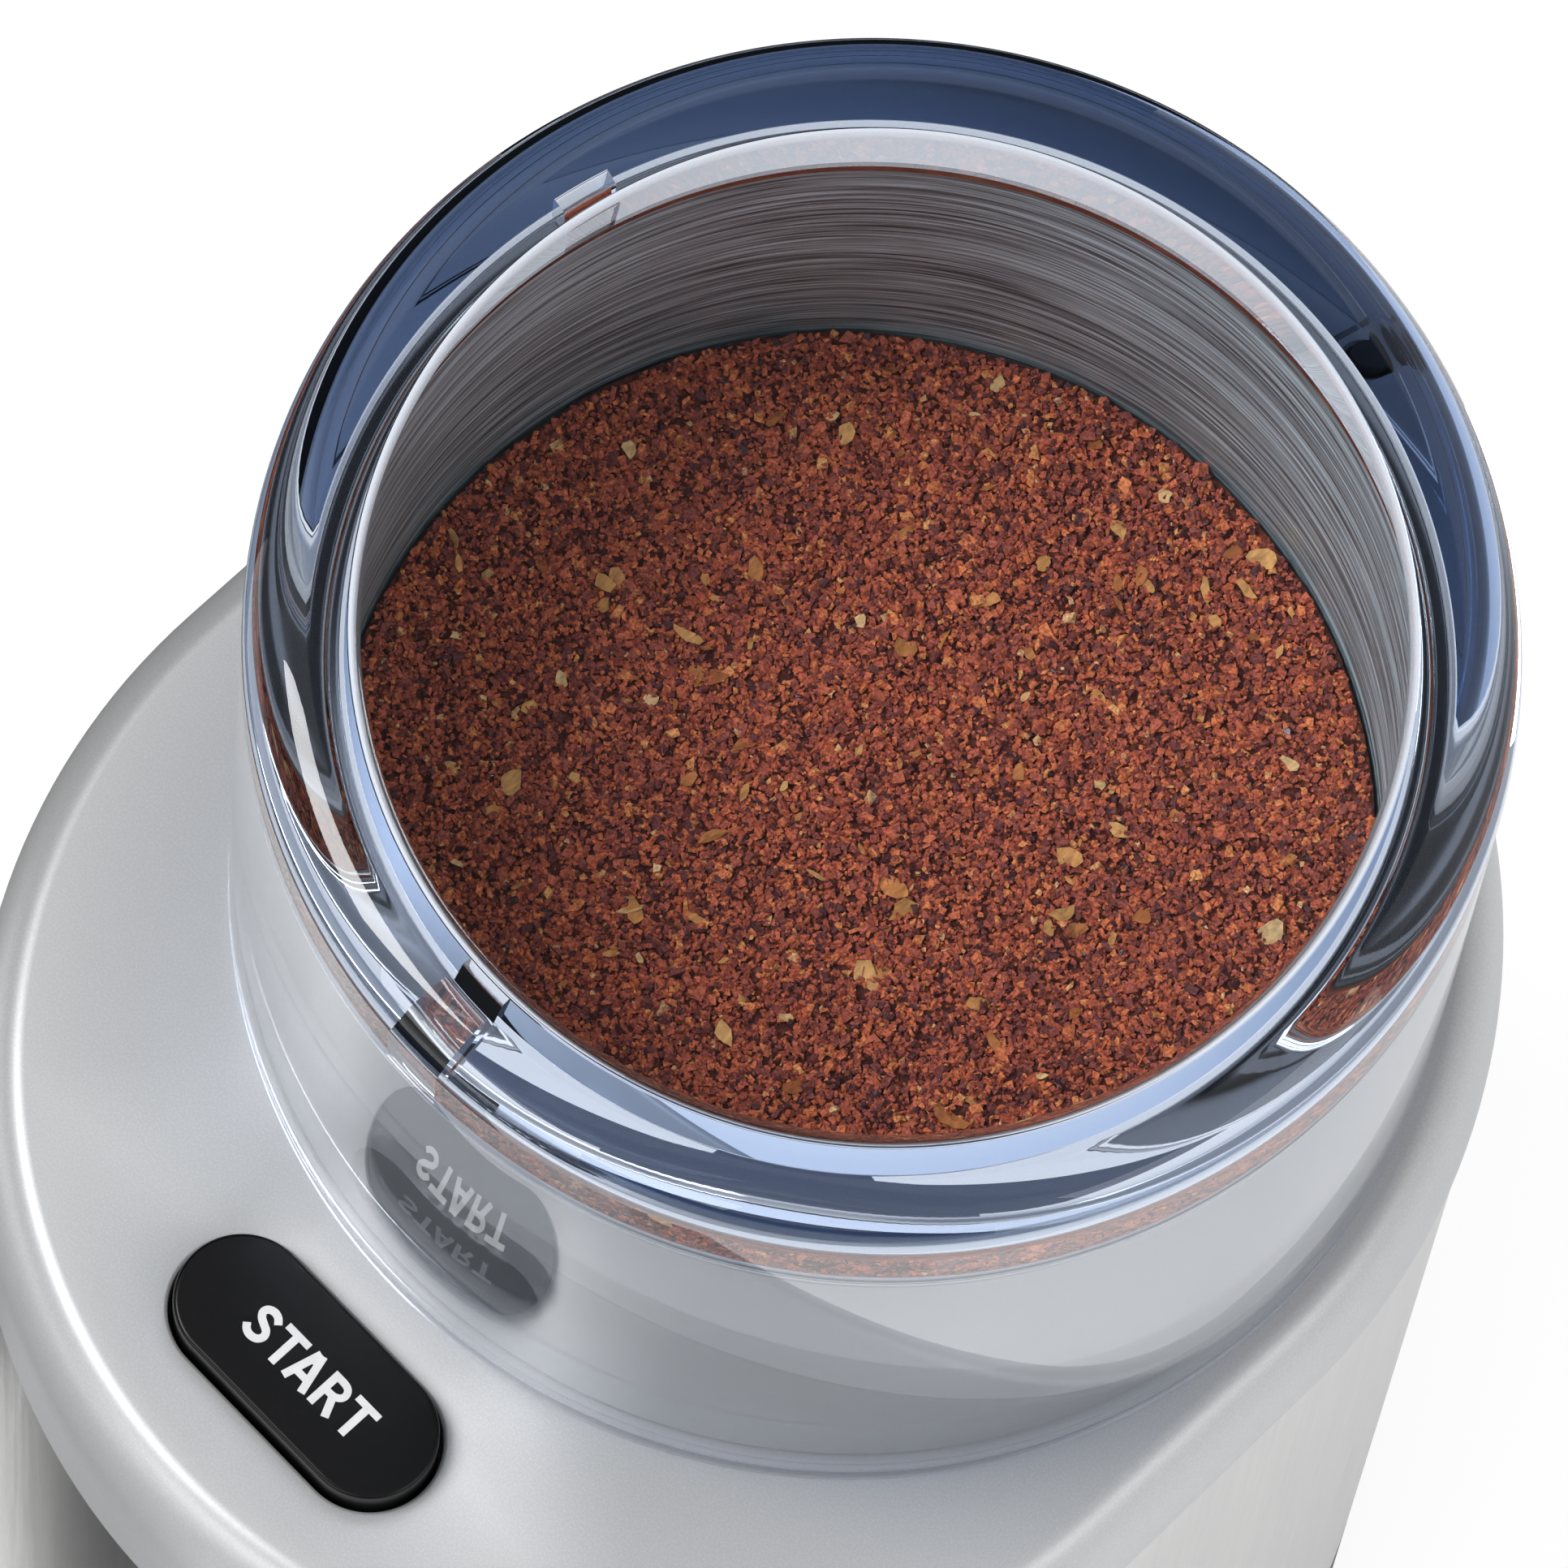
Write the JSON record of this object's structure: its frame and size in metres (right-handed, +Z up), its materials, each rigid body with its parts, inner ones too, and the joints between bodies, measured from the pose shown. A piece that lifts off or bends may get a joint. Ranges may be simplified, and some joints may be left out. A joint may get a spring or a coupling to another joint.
{
  "type": "electric spice grinder",
  "caption": "Upright electric blade grinder with a lift-out steel bowl, a tall clear lid, a start button and a motor inside its body.",
  "frame": {"origin": "under the middle of the body, on the surface that the feet stand on", "axes": "+Z up, front with the start button towards -Y, +X to the right seen from the front"},
  "size_m": [0.1056, 0.1264, 0.217],
  "materials": {
    "silver_plastic": "fine silver metallic paint, satin",
    "steel_sleeve": "satin stainless steel",
    "bowl_steel": "brushed inside, bright outside",
    "polished_steel": "ground and polished",
    "clear_plastic": "clear, faint blue-violet tint",
    "black_button": "black, satin, moulded",
    "black_plastic": "black, fine grain",
    "pale_plastic": "natural nylon",
    "rubber": "matt",
    "red_rubber": "silicone seal",
    "iron_laminations": "stacked sheet",
    "copper": "enamelled copper wire",
    "bronze": "sintered",
    "zinc_steel": "zinc-plated",
    "carbon": "carbon",
    "screws": "plain steel",
    "spice": "coarse red-brown grounds"
  },
  "bodies": {
    "base": {"deck_cover": "silver_plastic", "housing_sleeve": "steel_sleeve", "base_plate": "black_plastic", "rubber_feet": "rubber", "base_screws": "screws", "chassis": "pale_plastic", "chassis_screws": "screws", "cord_gland": "rubber", "terminal_block": "pale_plastic", "switch_leads": "pale_plastic", "switch_carrier": "pale_plastic", "carrier_screws": "screws", "start_switch": "black_plastic", "button_spring": "screws", "interlock_spring": "screws", "interlock_switch": "black_plastic", "motor_cushion": "rubber", "upper_bracket": "zinc_steel", "lower_bracket": "zinc_steel", "upper_bearing": "polished_steel", "lower_bearing": "polished_steel", "stator_core": "iron_laminations", "field_coils": "copper", "brush_holders": "bronze", "carbon_brushes": "carbon", "motor_bolts": "screws"},
    "rotor": {"motor_shaft": "polished_steel", "rotor_core": "iron_laminations", "rotor_windings": "copper", "commutator": "copper", "fan": "black_plastic", "drive_coupling": "black_plastic"},
    "bowl": {"bowl_liner": "bowl_steel", "bowl_jacket": "bowl_steel", "bowl_base": "black_plastic", "bowl_screws": "screws", "spindle_bushing": "bronze", "spindle_seal": "red_rubber", "ground_spice": "spice"},
    "blade_unit": {"spindle": "polished_steel", "blade": "polished_steel", "blade_nut": "polished_steel", "spindle_clip": "screws", "bowl_coupling": "pale_plastic"},
    "lid": {"lid": "clear_plastic"},
    "start_button": {"start_button": "black_button"},
    "interlock_pin": {"interlock_pin": "black_plastic"}
  },
  "joints": [
    {"name": "bowl_lift", "type": "slide", "parent": "base", "child": "bowl", "axis": [0, 0, 1], "range_m": [0, 0.075]},
    {"name": "lid_lift", "type": "slide", "parent": "bowl", "child": "lid", "axis": [0, 0, 1], "range_m": [0, 0.07]},
    {"name": "rotor_spin", "type": "hinge", "parent": "base", "child": "rotor", "pos_m": [0, 0.0104, 0.1], "axis": [0, 0, 1], "continuous": true},
    {"name": "blade_spin", "type": "hinge", "parent": "bowl", "child": "blade_unit", "pos_m": [0, 0.0104, 0.15], "axis": [0, 0, 1], "continuous": true},
    {"name": "start_press", "type": "slide", "parent": "base", "child": "start_button", "axis": [0, 0, 1], "range_m": [-0.0018, 0], "stiffness_N_per_m": 400, "springref_m": 0.002, "deforming": ["button_spring"]},
    {"name": "interlock_press", "type": "slide", "parent": "base", "child": "interlock_pin", "axis": [0, 0, 1], "range_m": [-0.0015, 0], "stiffness_N_per_m": 250, "springref_m": 0.002, "deforming": ["interlock_spring"]}
  ],
  "couplings": [
    {"joint": "blade_spin", "follows": "rotor_spin", "ratio": 1}
  ]
}
